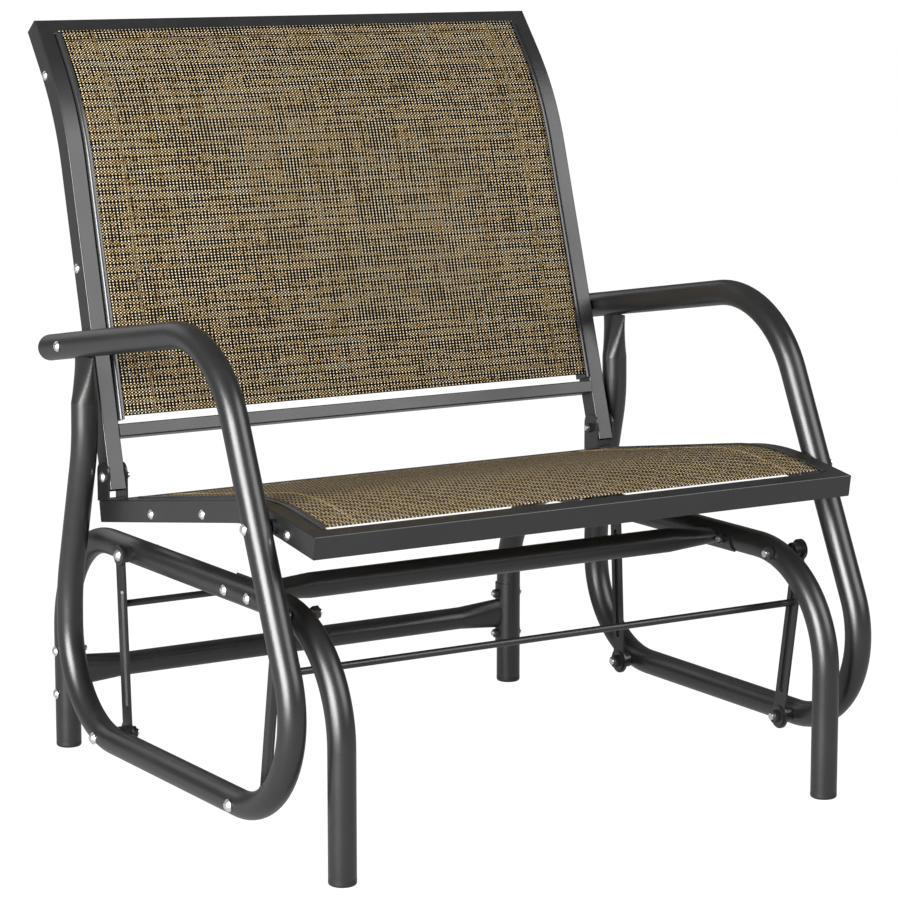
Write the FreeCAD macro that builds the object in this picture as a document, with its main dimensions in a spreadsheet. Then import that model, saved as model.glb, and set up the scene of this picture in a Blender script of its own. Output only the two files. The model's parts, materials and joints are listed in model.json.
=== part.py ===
import FreeCAD
import Part
import Sketcher
import math
import os
from types import SimpleNamespace

Vector = FreeCAD.Vector
Placement = FreeCAD.Placement
Rotation = FreeCAD.Rotation

# Patio glider chair, in millimetres and degrees.
# The chair faces -Y and +Z is up; the sitter's left is +X.
# The origin is on the floor, under the middle of the chair.
SIZES = {
    # round tube of the base and of the arm loops
    "tube_od": 30.0,
    "tube_wall": 1.5,
    # base side frames
    "base_tube_inset": 30.0,
    "base_mid_y": -5.1,
    "base_leg_span": 655.5,
    "base_rail_z": 269.5,
    "base_bend_r": 127.0,
    "foot_cap_h": 7.0,
    "foot_plug_len": 18.0,
    "foot_edge_r": 3.0,
    # cross bars between the side frames
    "bar_od": 28.0,
    "bar_wall": 1.5,
    "bar_flat_len": 58.0,
    "bar_flat_wide": 38.0,
    "bar_flat_thin": 17.0,
    "front_bar_y": -133.5,
    "rear_bar_z": 91.0,
    "bar_bolt_pitch": 52.0,
    "saddle_wall": 2.0,
    "saddle_len": 78.0,
    "saddle_wrap_angle": 120.0,
    # swing links and their pivots
    "rear_pivot_y": 120.0,
    "front_pivot_y": -247.5,
    "front_pivot_z": 267.3,
    "link_len": 204.0,
    "rear_link_angle": 3.23,
    "link_wide": 20.0,
    "link_eye_od": 24.0,
    "link_foot_od": 30.0,
    "link_plate": 2.5,
    "link_rib_wide": 12.0,
    "link_rib_high": 2.2,
    "link_rib_draft": 35.0,
    "link_rib_top": 37.0,
    "link_rib_low": 27.0,
    "pivot_spacer_len": 9.5,
    "pivot_spacer_od": 18.0,
    "pivot_washer_od": 24.0,
    "pivot_washer_t": 1.5,
    "pivot_bolt_od": 8.0,
    "pivot_head_od": 14.0,
    "pivot_head_h": 4.5,
    "pivot_nut_af": 13.0,
    "pivot_nut_h": 6.5,
    "swing_gap": 0.25,
    "running_gap": 0.05,
    "open_pivot_gap": 1.1,
    "tie_rod_od": 8.0,
    "rear_rod_drop": 55.5,
    "front_rod_drop": 64.0,
    # arm loops of the carriage
    "arm_tube_offset": 18.3,
    "arm_splay_angle": 0.76,
    "arm_tail_len": 49.2,
    "arm_rise_angle": 9.07,
    "arm_brow_y": -159.7,
    "arm_brow_z": 557.3,
    "arm_brow_r": 132.0,
    "arm_toe_y": -385.1,
    "arm_toe_r": 110.0,
    "arm_heel_y": 199.8,
    "arm_heel_r": 116.0,
    "post_kink_low_z": 224.0,
    "post_kink_high_z": 389.0,
    "post_kink_r": 200.0,
    "post_top_y": 158.0,
    "post_round_z": 440.0,
    "post_flat_wide": 46.0,
    "post_flat_thin": 6.0,
    "arm_plug_len": 16.0,
    "arm_plug_dome": 11.0,
    # seat and back frames, rectangular tube
    "rail_wide": 20.0,
    "rail_deep": 25.0,
    "rail_wall": 1.5,
    "rail_edge_r": 1.6,
    "seat_half_width": 342.5,
    "seat_rear_y": 162.5,
    "seat_crest_y": -207.5,
    "seat_crest_z": 372.6,
    "seat_front_y": -331.5,
    "seat_rise_angle": 9.1,
    "seat_fall_angle": 8.7,
    "seat_crest_r": 340.0,
    "seat_rear_rail_inset": 14.0,
    "back_tube_inset": 12.0,
    "back_taper_angle": 0.9,
    "back_foot_inset": 18.3,
    "back_foot_lift": 23.3,
    "back_bend_drop": 95.4,
    "back_top_z": 853.2,
    "back_lean_angle": 16.0,
    "back_top_angle": 38.0,
    "back_bend_r": 318.0,
    "lower_bar_lift": 63.4,
    "lower_bar_h": 15.0,
    "bracket_wall": 2.0,
    "bracket_len": 28.0,
    "bracket_top_lift": 31.4,
    "bracket_top_r": 11.0,
    "bracket_bolt_lift": 15.4,
    # slings and the bars that hold their edges
    "sling_bar_wide": 5.5,
    "sling_bar_deep": 24.5,
    "sling_bar_edge_r": 3.5,
    "sling_bar_over": 3.6,
    "sling_bar_gap": 1.0,
    "sling_bar_slit": 0.5,
    "sling_bar_wall": 1.2,
    "sling_groove": 2.5,
    "seat_cloth_lift": 12.5,
    "back_cloth_lift": 14.1,
    "sling_t": 1.6,
    "sling_gap": 0.3,
    "seat_sling_rear_cut": 55.0,
    "seat_sling_slit": 4.0,
    "back_sling_lift": 15.0,
    "back_sling_lap": 2.6,
    "seat_screw_rear_run": 74.5,
    "seat_screw_mid_run": 196.5,
    "seat_screw_front_run": 55.5,
    "back_screw_low_run": 29.0,
    "back_screw_mid_run": 168.0,
    "back_screw_top_run": 53.2,
    # small fasteners
    "bolt_od": 6.0,
    "bolt_head_od": 12.0,
    "bolt_head_h": 3.6,
    "bolt_spare": 3.0,
    "nut_af": 10.0,
    "nut_h": 5.0,
    "screw_od": 5.0,
    "screw_head_od": 11.0,
    "screw_head_h": 3.2,
    "screw_bite": 5.0,
    "screw_set": 3.5,
    "arm_bolt_rear_set": 6.0,
    "arm_bolt_front_drop": 9.2,
    "arm_spacer_od": 16.0,
    "captive_nut_od": 9.0,
    "captive_nut_len": 7.0,
    "hole_gap": 0.1,
    "tilt_gap": 0.5,
    "seat_gap": 0.05,
}


# A size keeps its formula for the document beside its present value.
class Size:
    def __init__(self, formula, value):
        self.formula = formula
        self.value = float(value)

    def __add__(self, other):
        other = as_size(other)
        return Size("(%s + %s)" % (self.formula, other.formula), self.value + other.value)

    def __sub__(self, other):
        other = as_size(other)
        return Size("(%s - %s)" % (self.formula, other.formula), self.value - other.value)

    def __mul__(self, other):
        other = as_size(other)
        return Size("(%s * %s)" % (self.formula, other.formula), self.value * other.value)

    def __truediv__(self, other):
        other = as_size(other)
        return Size("(%s / %s)" % (self.formula, other.formula), self.value / other.value)

    def __neg__(self):
        return Size("(0 - %s)" % self.formula, -self.value)


def as_size(amount):
    if isinstance(amount, Size):
        return amount
    return Size("%g" % amount, amount) if amount >= 0 else Size("(0 - %g)" % -amount, amount)


def sin_of(angle):
    angle = as_size(angle)
    return Size("sin(%s)" % angle.formula, math.sin(math.radians(angle.value)))


def cos_of(angle):
    angle = as_size(angle)
    return Size("cos(%s)" % angle.formula, math.cos(math.radians(angle.value)))


def tan_of(angle):
    angle = as_size(angle)
    return Size("tan(%s)" % angle.formula, math.tan(math.radians(angle.value)))


def root_of(amount):
    return Size("sqrt(%s)" % amount.formula, math.sqrt(amount.value))


doc = FreeCAD.newDocument("PatioGlider")
sheet = doc.addObject("Spreadsheet::Sheet", "Sizes")
for row, (alias, number) in enumerate(SIZES.items(), start=1):
    sheet.set("A%d" % row, alias)
    sheet.set("B%d" % row, str(number))
    sheet.setAlias("B%d" % row, alias)
doc.recompute()
s = SimpleNamespace(**{alias: Size("Sizes." + alias, number) for alias, number in SIZES.items()})

nodes = {}


def keep(label, obj):
    obj.Label = label
    nodes[label] = obj
    return obj


def bind(obj, path, amount):
    obj.setExpression(path, as_size(amount).formula)


# Sketch drawing

def new_body(label):
    return doc.addObject("PartDesign::Body", label)


def sketch_on(body, role, x=0, y=0, z=0, turn=None):
    # x, y and z are in the plane's own axes; turn tips the sketch about its own x axis
    sketch = body.newObject("Sketcher::SketchObject", body.Name + "_sketch")
    plane = next(f for f in body.Origin.OriginFeatures if f.Role == role)
    sketch.AttachmentSupport = [(plane, "")]
    sketch.MapMode = "FlatFace"
    base = Vector(as_size(x).value, as_size(y).value, as_size(z).value)
    tip = Rotation(Vector(-1, 0, 0), turn.value) if turn is not None else Rotation()
    sketch.AttachmentOffset = Placement(base, tip)
    for axis, amount in zip("xyz", (x, y, z)):
        bind(sketch, "AttachmentOffset.Base." + axis, amount)
    if turn is not None:
        bind(sketch, "AttachmentOffset.Rotation.Angle", turn)
    return sketch


def fix_point(sketch, geometry, position, point):
    for kind, amount in zip(("DistanceX", "DistanceY"), point):
        amount = as_size(amount)
        number = sketch.addConstraint(Sketcher.Constraint(kind, -1, 1, geometry, position, amount.value))
        sketch.setExpression("Constraints[%d]" % number, amount.formula)


def fix_radius(sketch, geometry, radius):
    number = sketch.addConstraint(Sketcher.Constraint("Radius", geometry, radius.value))
    sketch.setExpression("Constraints[%d]" % number, radius.formula)


def draw_path(sketch, corners, radii, closed=False):
    # straight runs between the corners; a corner with a radius is rounded by a tangent arc
    spots = [Vector(as_size(a).value, as_size(b).value, 0) for a, b in corners]
    count = len(spots)
    arrive = list(spots)
    leave = list(spots)
    arcs = {}
    for i, radius in radii.items():
        before = (spots[i - 1] - spots[i]).normalize()
        after = (spots[(i + 1) % count] - spots[i]).normalize()
        half = before.getAngle(after) / 2
        reach = radius.value / math.tan(half)
        arrive[i] = spots[i] + before * reach
        leave[i] = spots[i] + after * reach
        centre = spots[i] + (before + after).normalize() * (radius.value / math.sin(half))
        turns_left = (-before).cross(after).z > 0
        arcs[i] = (centre, turns_left)
    runs = count if closed else count - 1
    lines = [sketch.addGeometry(Part.LineSegment(leave[i], arrive[(i + 1) % count]), False) for i in range(runs)]
    for i in range(count):
        before, after = lines[i - 1], lines[i % runs]
        if i in arcs:
            centre, turns_left = arcs[i]
            first, last = (arrive[i], leave[i]) if turns_left else (leave[i], arrive[i])
            start = math.atan2(first.y - centre.y, first.x - centre.x)
            end = math.atan2(last.y - centre.y, last.x - centre.x)
            circle = Part.Circle(centre, Vector(0, 0, 1), radii[i].value)
            arc = sketch.addGeometry(Part.ArcOfCircle(circle, start, end), False)
            corner = sketch.addGeometry(Part.Point(spots[i]), True)
            ends = (1, 2) if turns_left else (2, 1)
            sketch.addConstraint(Sketcher.Constraint("Tangent", before, 2, arc, ends[0]))
            sketch.addConstraint(Sketcher.Constraint("Tangent", arc, ends[1], after, 1))
            sketch.addConstraint(Sketcher.Constraint("PointOnObject", corner, 1, before))
            sketch.addConstraint(Sketcher.Constraint("PointOnObject", corner, 1, after))
            fix_radius(sketch, arc, radii[i])
            fix_point(sketch, corner, 1, corners[i])
        elif closed or 0 < i < count - 1:
            sketch.addConstraint(Sketcher.Constraint("Coincident", before, 2, after, 1))
            fix_point(sketch, after, 1, corners[i])
        elif i == 0:
            fix_point(sketch, lines[0], 1, corners[0])
        else:
            fix_point(sketch, lines[-1], 2, corners[-1])


def draw_circle(sketch, centre, radius):
    radius = as_size(radius)
    middle = Vector(as_size(centre[0]).value, as_size(centre[1]).value, 0)
    circle = sketch.addGeometry(Part.Circle(middle, Vector(0, 0, 1), radius.value), False)
    fix_point(sketch, circle, 3, centre)
    fix_radius(sketch, circle, radius)


def draw_ring(sketch, outer_od, wall):
    draw_circle(sketch, (0, 0), outer_od / 2)
    draw_circle(sketch, (0, 0), outer_od / 2 - wall)


def draw_box(sketch, wide, deep, edge_r=None, centre=(0, 0)):
    across, along = as_size(centre[0]), as_size(centre[1])
    a, b = wide / 2, deep / 2
    corners = [(across - a, along - b), (across + a, along - b), (across + a, along + b), (across - a, along + b)]
    radii = {i: edge_r for i in range(4)} if edge_r is not None else {}
    draw_path(sketch, corners, radii, closed=True)


def draw_box_tube(sketch):
    draw_box(sketch, s.rail_wide, s.rail_deep, s.rail_edge_r)
    draw_box(sketch, s.rail_wide - s.rail_wall * 2, s.rail_deep - s.rail_wall * 2)


def draw_ellipse(sketch, half_x, half_y):
    wide, tall = (half_x.value, half_y.value)
    major = Vector(wide, 0, 0) if wide > tall else Vector(0, tall, 0)
    minor = Vector(0, tall, 0) if wide > tall else Vector(wide, 0, 0)
    ellipse = sketch.addGeometry(Part.Ellipse(major, minor, Vector(0, 0, 0)), False)
    sketch.exposeInternalGeometry(ellipse)
    sketch.addConstraint(Sketcher.Constraint("Coincident", ellipse, 3, -1, 1))
    longer, shorter = (half_x, half_y) if wide > tall else (half_y, half_x)
    sketch.addConstraint(Sketcher.Constraint("Horizontal" if wide > tall else "Vertical", ellipse + 1))
    for line, amount in ((ellipse + 1, longer), (ellipse + 2, shorter)):
        number = sketch.addConstraint(Sketcher.Constraint("Distance", line, amount.value * 2))
        sketch.setExpression("Constraints[%d]" % number, (amount * 2).formula)


# Features

def pad(body, sketch, length, symmetric=False, reverse=False):
    feature = body.newObject("PartDesign::Pad", body.Name + "_pad")
    feature.Profile = sketch
    bind(feature, "Length", length)
    feature.SideType = "Symmetric" if symmetric else "One side"
    feature.Reversed = reverse
    doc.recompute()
    return feature


def sweep_along(label, x, corners, radii, tilt, draw_section):
    # the section is drawn square to the first run, which heads forward and rises by tilt
    body = new_body(label)
    path = sketch_on(body, "YZ_Plane", z=x)
    draw_path(path, corners, radii)
    first_y, first_z = corners[0]
    section = sketch_on(body, "XZ_Plane", x=x, y=first_z, z=-as_size(first_y), turn=tilt)
    draw_section(section)
    doc.recompute()
    pipe = body.newObject("PartDesign::AdditivePipe", label + "_bend")
    pipe.Profile = section
    pipe.Spine = (path, [])
    doc.recompute()
    return body


def drill(body, holes, x=0):
    # round holes along X, right through the body; each hole is y, z and diameter
    before = body.Shape.Volume
    sketch = sketch_on(body, "YZ_Plane", z=x)
    for y, z, diameter in holes:
        draw_circle(sketch, (y, z), diameter / 2)
    cut = body.newObject("PartDesign::Pocket", body.Name + "_holes")
    cut.Profile = sketch
    cut.Type = "ThroughAll"
    cut.SideType = "Symmetric"
    doc.recompute()
    if body.Shape.Volume >= before:
        raise RuntimeError("the holes of %s cut nothing" % body.Label)


def mirror(label, source):
    twin = doc.addObject("Part::Mirroring", label)
    twin.Source = source
    twin.Normal = Vector(1, 0, 0)
    return twin


def keep_pair(label, source):
    keep(label + "_left", source)
    keep(label + "_right", mirror(label + "_right", source))


def trim(label, source, point, normal, span):
    # cut away what lies past a plane
    block = doc.addObject("Part::Box", label + "_trim_block")
    for side, length in zip(("Length", "Width", "Height"), (span, span, span)):
        bind(block, side, length)
    turn = Rotation(Vector(0, 0, 1), normal)
    half = Vector(span.value / 2, span.value / 2, 0)
    block.Placement = Placement(point - turn.multVec(half), turn)
    cut = doc.addObject("Part::Cut", label + "_trimmed")
    cut.Base = source
    cut.Tool = block
    return cut


def spot(x, y, z):
    return Vector(as_size(x).value, as_size(y).value, as_size(z).value)


def copies(label, master, places):
    # one left-hand group of a fastener and its mirror image, in one node
    links = []
    for number, place in enumerate(places):
        link = doc.addObject("App::Link", "%s_%d" % (label, number + 1))
        link.LinkedObject = master
        if isinstance(place, Placement):
            link.Placement = place
        else:
            link.Placement = Placement(spot(*place), Rotation())
            for axis, amount in zip("xyz", place):
                bind(link, "Placement.Base." + axis, amount)
        links.append(link)
    side = doc.addObject("Part::Compound", label + "_left_side")
    side.Links = links
    group = doc.addObject("Part::Compound", label)
    group.Links = [side, mirror(label + "_right_side", side)]
    return keep(label, group)


def turned(label, corners, radii):
    # a body of revolution about X; corners are x and radius
    body = new_body(label)
    sketch = sketch_on(body, "XY_Plane")
    draw_path(sketch, corners, radii, closed=True)
    turn = body.newObject("PartDesign::Revolution", label + "_turn")
    turn.Profile = sketch
    turn.ReferenceAxis = (sketch, ["H_Axis"])
    turn.Angle = 360
    doc.recompute()
    return body


def dome_bolt(label, shank_od, shank_len, head_od, head_h):
    # the seat of the head is at x = 0, the shank runs to -X
    rim = head_h / 4
    corners = [(-shank_len, 0), (head_h, 0), (head_h, head_od / 4), (rim, head_od / 2), (0, head_od / 2),
               (0, shank_od / 2), (-shank_len, shank_od / 2)]
    return turned(label, corners, {2: head_od / 5})


def ring_piece(label, outer_od, bore, length):
    # a spacer or washer from x = 0 to +X
    corners = [(0, bore / 2), (length, bore / 2), (length, outer_od / 2), (0, outer_od / 2)]
    return turned(label, corners, {})


def hex_nut(label, across_flats, bore, height):
    # the seat is at x = 0 and the nut runs to -X
    prism = doc.addObject("Part::Prism", label + "_hex")
    prism.Polygon = 6
    bind(prism, "Circumradius", across_flats / math.sqrt(3))
    bind(prism, "Height", height)
    hole = doc.addObject("Part::Cylinder", label + "_hole")
    bind(hole, "Radius", bore / 2)
    bind(hole, "Height", height)
    for solid in (prism, hole):
        solid.Placement = Placement(Vector(), Rotation(Vector(0, -1, 0), 90))
    nut = doc.addObject("Part::Cut", label)
    nut.Base = prism
    nut.Tool = hole
    return nut


# Places that several pieces share

tube_r = s.tube_od / 2
base_tube_x = s.seat_half_width - s.base_tube_inset
arm_tube_x = s.seat_half_width + s.arm_tube_offset
back_tube_x = s.seat_half_width - s.back_tube_inset
base_front_y = s.base_mid_y - s.base_leg_span / 2
base_rear_y = s.base_mid_y + s.base_leg_span / 2

rear_low_y = s.rear_pivot_y - s.link_len * sin_of(s.rear_link_angle)
arm_low_z = s.base_rail_z - s.link_len * cos_of(s.rear_link_angle)
front_link_fall = s.front_pivot_z - arm_low_z
front_link_run = root_of(s.link_len * s.link_len - front_link_fall * front_link_fall)
front_low_y = s.front_pivot_y + front_link_run

link_in_x = base_tube_x + tube_r + s.pivot_spacer_len + s.swing_gap
link_out_x = link_in_x + s.link_plate

seat_tube_x = s.seat_half_width - s.rail_wide / 2
seat_in_x = s.seat_half_width - s.rail_wide


def seat_rear_line(y):
    return s.seat_crest_z - (as_size(y) - s.seat_crest_y) * tan_of(s.seat_rise_angle)


def seat_front_line(y):
    return s.seat_crest_z - (s.seat_crest_y - y) * tan_of(s.seat_fall_angle)


back_foot_y = s.seat_rear_y - s.back_foot_inset
back_foot_z = seat_rear_line(back_foot_y) + s.back_foot_lift
bracket_bolt_z = back_foot_z + s.bracket_bolt_lift
bracket_top_z = back_foot_z + s.bracket_top_lift
lower_bar_z = back_foot_z + s.lower_bar_lift
back_sling_low_z = lower_bar_z + s.back_sling_lift
back_bend_z = s.back_top_z - s.back_bend_drop
back_bend_y = back_foot_y + (back_bend_z - back_foot_z) * tan_of(s.back_lean_angle)
back_top_y = back_bend_y + (s.back_top_z - back_bend_z) * tan_of(s.back_top_angle)
back_bisector = (s.back_lean_angle + s.back_top_angle) / 2


def back_low_line(z):
    return back_foot_y + (as_size(z) - back_foot_z) * tan_of(s.back_lean_angle)



# the rear armrest bolt is where the armrest crosses the back rail, a little behind the rail's centre line
arm_drop = tan_of(s.arm_rise_angle)
back_run = tan_of(s.back_lean_angle)
arm_cross_z = s.arm_brow_z + s.arm_brow_y * arm_drop - back_foot_z
arm_bolt_rear_y = (back_foot_y + s.arm_bolt_rear_set + arm_cross_z * back_run) / (as_size(1) + arm_drop * back_run)
arm_bolt_rear_z = s.arm_brow_z - (arm_bolt_rear_y - s.arm_brow_y) * arm_drop
arm_end_y = arm_bolt_rear_y + s.arm_tail_len
arm_end_z = s.arm_brow_z - (arm_end_y - s.arm_brow_y) * arm_drop
arm_bolt_front_z = s.seat_crest_z - s.arm_bolt_front_drop
post_slope = (s.arm_brow_y - s.arm_toe_y) / (s.arm_brow_z - arm_low_z)
arm_bolt_front_y = s.arm_brow_y - (s.arm_brow_z - arm_bolt_front_z) * post_slope


# the arm loop leans: its lower rail stands further out than its armrest
def arm_centre_x(z):
    return arm_tube_x + (arm_bolt_rear_z - z) * tan_of(s.arm_splay_angle)


def arm_in_x(z):
    return arm_centre_x(z) - tube_r / cos_of(s.arm_splay_angle)


def arm_out_x(z):
    return arm_centre_x(z) + tube_r / cos_of(s.arm_splay_angle)


def back_centre_x(z):
    return back_tube_x + (arm_bolt_rear_z - z) * tan_of(s.back_taper_angle)


# Base side tubes: inverted U, standing on the foot caps

base_corners = [(base_front_y, s.foot_cap_h), (base_front_y, s.base_rail_z),
                (base_rear_y, s.base_rail_z), (base_rear_y, s.foot_cap_h)]
base_bends = {1: s.base_bend_r, 2: s.base_bend_r}
base_tube = sweep_along("base_side_tube_left", base_tube_x, base_corners, base_bends, as_size(90),
                        lambda sketch: draw_ring(sketch, s.tube_od, s.tube_wall))
pitch = s.bar_bolt_pitch / 2
front_bar_bolts = [(s.front_bar_y - pitch, s.base_rail_z), (s.front_bar_y + pitch, s.base_rail_z)]
rear_bar_bolts = [(base_rear_y, s.rear_bar_z - pitch), (base_rear_y, s.rear_bar_z + pitch)]
upper_pivots = [(s.rear_pivot_y, s.base_rail_z), (s.front_pivot_y, s.front_pivot_z)]
lower_pivots = [(rear_low_y, arm_low_z), (front_low_y, arm_low_z)]
bolt_hole = s.bolt_od + s.hole_gap * 2
pivot_hole = s.pivot_bolt_od + s.hole_gap * 2
base_holes = [(y, z, bolt_hole) for y, z in front_bar_bolts + rear_bar_bolts]
base_holes += [(y, z, pivot_hole) for y, z in upper_pivots]
drill(base_tube, base_holes, base_tube_x)
keep_pair("base_side_tube", base_tube)


# Foot caps: a plug in the tube and a rounded foot flush with it

def foot_cap(label, y):
    body = new_body(label)
    plug_r = tube_r - s.tube_wall - s.seat_gap
    corners = [(0, 0), (tube_r, 0), (tube_r, s.foot_cap_h), (plug_r, s.foot_cap_h),
               (plug_r, s.foot_cap_h + s.foot_plug_len), (0, s.foot_cap_h + s.foot_plug_len)]
    sketch = sketch_on(body, "XZ_Plane")
    draw_path(sketch, corners, {1: s.foot_edge_r}, closed=True)
    turn = body.newObject("PartDesign::Revolution", label + "_turn")
    turn.Profile = sketch
    turn.ReferenceAxis = (sketch, ["V_Axis"])
    turn.Angle = 360
    doc.recompute()
    body.Placement.Base = spot(base_tube_x, y, 0)
    bind(body, "Placement.Base.x", base_tube_x)
    bind(body, "Placement.Base.y", y)
    return body


keep_pair("front_foot_cap", foot_cap("front_foot_cap_left", base_front_y))
keep_pair("rear_foot_cap", foot_cap("rear_foot_cap_left", base_rear_y))


# Cross bars: round tube, flattened towards the saddles and coped to them

saddle_r = tube_r + s.saddle_wall
saddle_face_x = base_tube_x - saddle_r
bar_round_half = saddle_face_x - s.bar_flat_len


def cross_bar(label, y, z, wide_y, wide_z, cope_axis):
    body = new_body(label)
    middle = sketch_on(body, "YZ_Plane")
    draw_ring(middle, s.bar_od, s.bar_wall)
    pad(body, middle, bar_round_half * 2, symmetric=True)
    for side in (1, -1):
        root = sketch_on(body, "YZ_Plane", z=bar_round_half * side)
        draw_circle(root, (0, 0), s.bar_od / 2)
        end = sketch_on(body, "YZ_Plane", z=(saddle_face_x + s.saddle_wall) * side)
        draw_ellipse(end, wide_y / 2, wide_z / 2)
        loft = body.newObject("PartDesign::AdditiveLoft", label + "_flat")
        loft.Profile = root
        loft.Sections = [end]
        doc.recompute()
    body.Placement.Base = spot(0, y, z)
    bind(body, "Placement.Base.y", y)
    bind(body, "Placement.Base.z", z)
    bar = body
    for side in (1, -1):
        cope = doc.addObject("Part::Cylinder", label + "_cope")
        bind(cope, "Radius", saddle_r + s.seat_gap)
        bind(cope, "Height", s.saddle_len * 2)
        run = Vector(cope_axis)
        start = spot(base_tube_x * side, y, z) - run * s.saddle_len.value
        cope.Placement = Placement(start, Rotation(Vector(0, 0, 1), run))
        cut = doc.addObject("Part::Cut", label + "_coped")
        cut.Base = bar
        cut.Tool = cope
        bar = cut
    return keep(label, bar)


cross_bar("front_cross_bar", s.front_bar_y, s.base_rail_z, s.bar_flat_wide, s.bar_flat_thin, Vector(0, 1, 0))
cross_bar("rear_cross_bar", base_rear_y, s.rear_bar_z, s.bar_flat_thin, s.bar_flat_wide, Vector(0, 0, 1))


# Saddle plates: a curved plate on the inner side of the base tube

def saddle(label, y, z, run, holes):
    shells = []
    for name, radius in (("outer", saddle_r), ("inner", tube_r + s.seat_gap)):
        shell = doc.addObject("Part::Cylinder", "%s_%s" % (label, name))
        bind(shell, "Radius", radius)
        bind(shell, "Height", s.saddle_len)
        if name == "outer":
            bind(shell, "Angle", s.saddle_wrap_angle)
        shells.append(shell)
    # the plate is centred on the side that faces the middle of the chair
    facing = Rotation(Vector(0, 0, 1), 180 - s.saddle_wrap_angle.value / 2)
    tip = Rotation(Vector(0, 0, 1), Vector(run))
    start = spot(base_tube_x, y, z) - Vector(run) * (s.saddle_len.value / 2)
    if run.y:
        tip = Rotation(Vector(1, 0, 0), Vector(0, 0, -1), Vector(0, 1, 0), "ZXY")
    for shell in shells:
        shell.Placement = Placement(start, tip * facing)
    plate = doc.addObject("Part::Cut", label + "_plate")
    plate.Base, plate.Tool = shells
    for number, (hole_y, hole_z) in enumerate(holes):
        hole = doc.addObject("Part::Cylinder", "%s_hole_%d" % (label, number + 1))
        bind(hole, "Radius", bolt_hole / 2)
        bind(hole, "Height", s.tube_od)
        hole.Placement = Placement(spot(base_tube_x - s.tube_od, hole_y, hole_z), Rotation(Vector(0, 1, 0), 90))
        cut = doc.addObject("Part::Cut", label + "_drilled")
        cut.Base, cut.Tool = plate, hole
        plate = cut
    return plate


keep_pair("front_saddle", saddle("front_saddle_left", s.front_bar_y, s.base_rail_z, Vector(0, 1, 0),
                                 front_bar_bolts))
keep_pair("rear_saddle", saddle("rear_saddle_left", base_rear_y, s.rear_bar_z, Vector(0, 0, 1), rear_bar_bolts))

base_out_x = base_tube_x + tube_r
base_in_x = base_tube_x - tube_r
bar_bolt = dome_bolt("bar_bolt", s.bolt_od, base_out_x - saddle_face_x + s.nut_h + s.bolt_spare,
                     s.bolt_head_od, s.bolt_head_h)
nut = hex_nut("nut", s.nut_af, s.bolt_od + s.hole_gap, s.nut_h)
for bar_name, places in (("front", front_bar_bolts), ("rear", rear_bar_bolts)):
    copies(bar_name + "_bar_bolts", bar_bolt, [(base_out_x, y, z) for y, z in places])
    copies(bar_name + "_bar_nuts", nut, [(saddle_face_x, y, z) for y, z in places])

# Upper pivots: bolt through the base tube, spacer, link and washer

washer_out_x = link_out_x + s.swing_gap + s.pivot_washer_t
upper_bolt = dome_bolt("upper_pivot_bolt", s.pivot_bolt_od,
                       washer_out_x - base_in_x + s.pivot_nut_h + s.bolt_spare, s.pivot_head_od, s.pivot_head_h)
upper_spacer = ring_piece("upper_spacer", s.pivot_spacer_od, pivot_hole, s.pivot_spacer_len)
washer = ring_piece("pivot_washer", s.pivot_washer_od, pivot_hole, s.pivot_washer_t)
pivot_nut = hex_nut("pivot_nut", s.pivot_nut_af, s.pivot_bolt_od + s.hole_gap, s.pivot_nut_h)
copies("upper_pivot_bolts", upper_bolt, [(washer_out_x, y, z) for y, z in upper_pivots])
copies("upper_pivot_spacers", upper_spacer, [(base_out_x, y, z) for y, z in upper_pivots])
copies("upper_pivot_washers", washer, [(link_out_x + s.swing_gap, y, z) for y, z in upper_pivots])
copies("upper_pivot_nuts", pivot_nut, [(base_in_x, y, z) for y, z in upper_pivots])


# Swing links: a strip with an eye at each end and a pressed rib, hung from the upper pivot

def link(label, y, z, lean, low_gap):
    body = new_body(label)
    strip = sketch_on(body, "YZ_Plane")
    draw_box(strip, s.link_wide, s.link_len, centre=(0, -s.link_len / 2))
    pad(body, strip, s.link_plate)
    for eye_z, eye_od in ((as_size(0), s.link_eye_od), (-s.link_len, s.link_foot_od)):
        eye = sketch_on(body, "YZ_Plane")
        draw_circle(eye, (as_size(0), eye_z), eye_od / 2)
        pad(body, eye, s.link_plate)
    # the rib stands out on the outer face and is hollow on the inner one
    rib_middle = (0, (s.link_rib_low - s.link_rib_top - s.link_len) / 2)
    rib_long = s.link_len - s.link_rib_top - s.link_rib_low
    rib = sketch_on(body, "YZ_Plane", z=s.link_plate)
    draw_box(rib, s.link_rib_wide, rib_long, s.link_rib_wide / 2 - s.seat_gap, rib_middle)
    rib_pad = pad(body, rib, s.link_rib_high)
    bind(rib_pad, "TaperAngle", -s.link_rib_draft)
    hollow_wide = s.link_rib_wide - s.link_plate * 2
    hollow = sketch_on(body, "YZ_Plane")
    draw_box(hollow, hollow_wide, rib_long - s.link_plate * 2, hollow_wide / 2 - s.seat_gap, rib_middle)
    press = body.newObject("PartDesign::Pocket", body.Name + "_hollow")
    press.Profile = hollow
    bind(press, "Length", s.link_rib_high)
    press.Reversed = True
    doc.recompute()
    running_hole = s.pivot_bolt_od + s.running_gap * 2
    drill(body, [(as_size(0), as_size(0), running_hole),
                 (as_size(0), -s.link_len, s.pivot_bolt_od + low_gap * 2)])
    body.Placement = Placement(spot(link_in_x, y, z), Rotation(Vector(1, 0, 0), lean))
    bind(body, "Placement.Base.x", link_in_x)
    bind(body, "Placement.Base.y", y)
    bind(body, "Placement.Base.z", z)
    return body


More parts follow.
